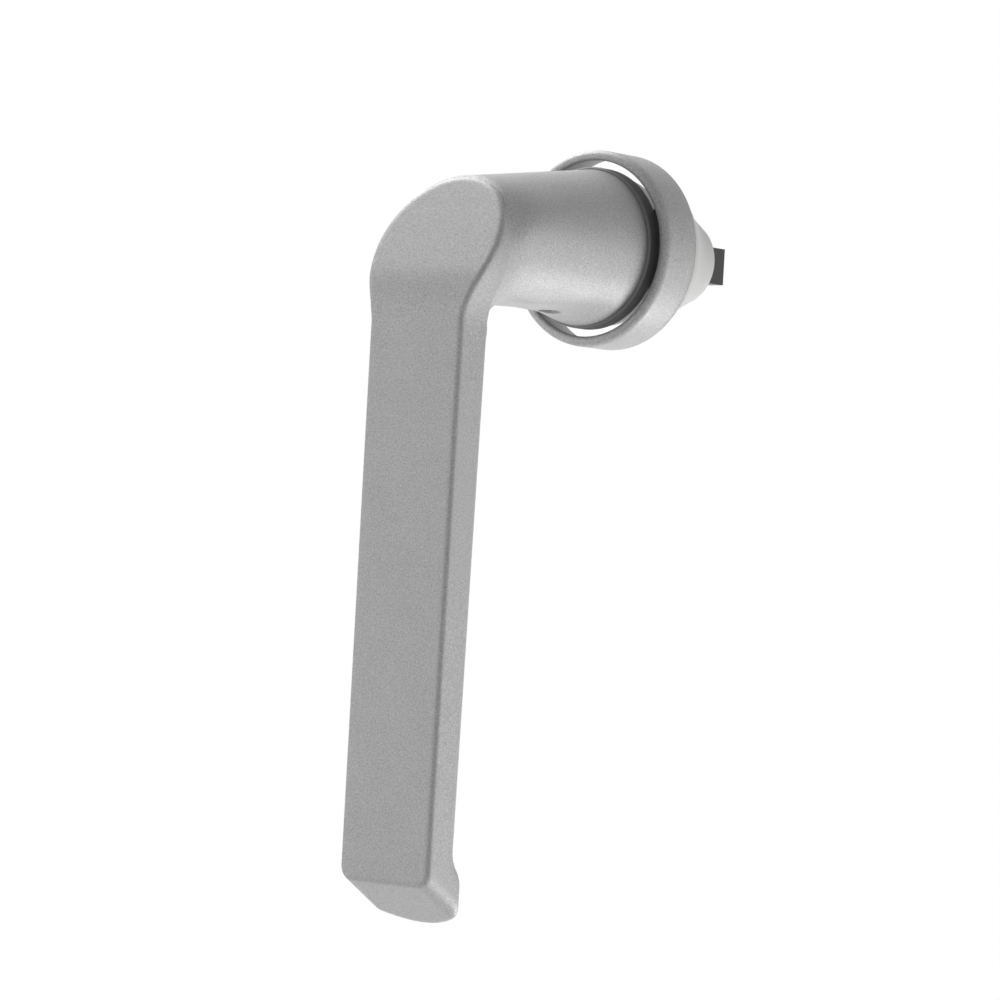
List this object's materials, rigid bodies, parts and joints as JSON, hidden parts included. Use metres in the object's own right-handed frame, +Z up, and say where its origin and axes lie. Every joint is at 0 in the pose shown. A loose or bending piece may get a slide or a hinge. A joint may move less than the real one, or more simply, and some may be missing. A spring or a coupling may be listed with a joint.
{
  "type": "window handle",
  "caption": "Tilt and turn window handle: flat cast lever on a round neck, open ring rosette, plug-in bell and square spindle.",
  "frame": {"origin": "on the axis the lever turns about, in the plane where the rosette ring rests against the sash", "axes": "+Y points through the rosette into the window, +Z is up, and the grip hangs along -Z in the closed position"},
  "size_m": [0.037, 0.088, 0.1439],
  "materials": {
    "anodised_aluminium": "fine sand-blasted, natural anodised",
    "black_plastic": "matte",
    "pale_plastic": "matte, moulded",
    "dark_steel": "oiled black",
    "bright_steel": "zinc plated",
    "zinc_casting": "as cast"
  },
  "bodies": {
    "rosette": {"carrier_plate": "zinc_casting", "bell_housing": "pale_plastic", "rosette_ring": "anodised_aluminium", "wave_washer": "bright_steel", "detent_ball_left": "bright_steel", "detent_ball_right": "bright_steel", "detent_spring_left": "dark_steel", "detent_spring_right": "dark_steel", "detent_plug_left": "bright_steel", "detent_plug_right": "bright_steel", "housing_screw_left": "bright_steel", "housing_screw_right": "bright_steel"},
    "lever": {"lever": "anodised_aluminium", "neck_collar": "black_plastic", "drive_sleeve": "bright_steel", "spindle": "dark_steel", "roll_pin": "dark_steel", "grub_screw": "bright_steel", "detent_star": "zinc_casting", "retaining_ring": "dark_steel", "thrust_washer": "bright_steel"}
  },
  "joints": [
    {"name": "lever_turn", "type": "hinge", "parent": "rosette", "child": "lever", "pos_m": [0, 0, 0], "axis": [0, 1, 0], "range_deg": [0, 180]}
  ]
}
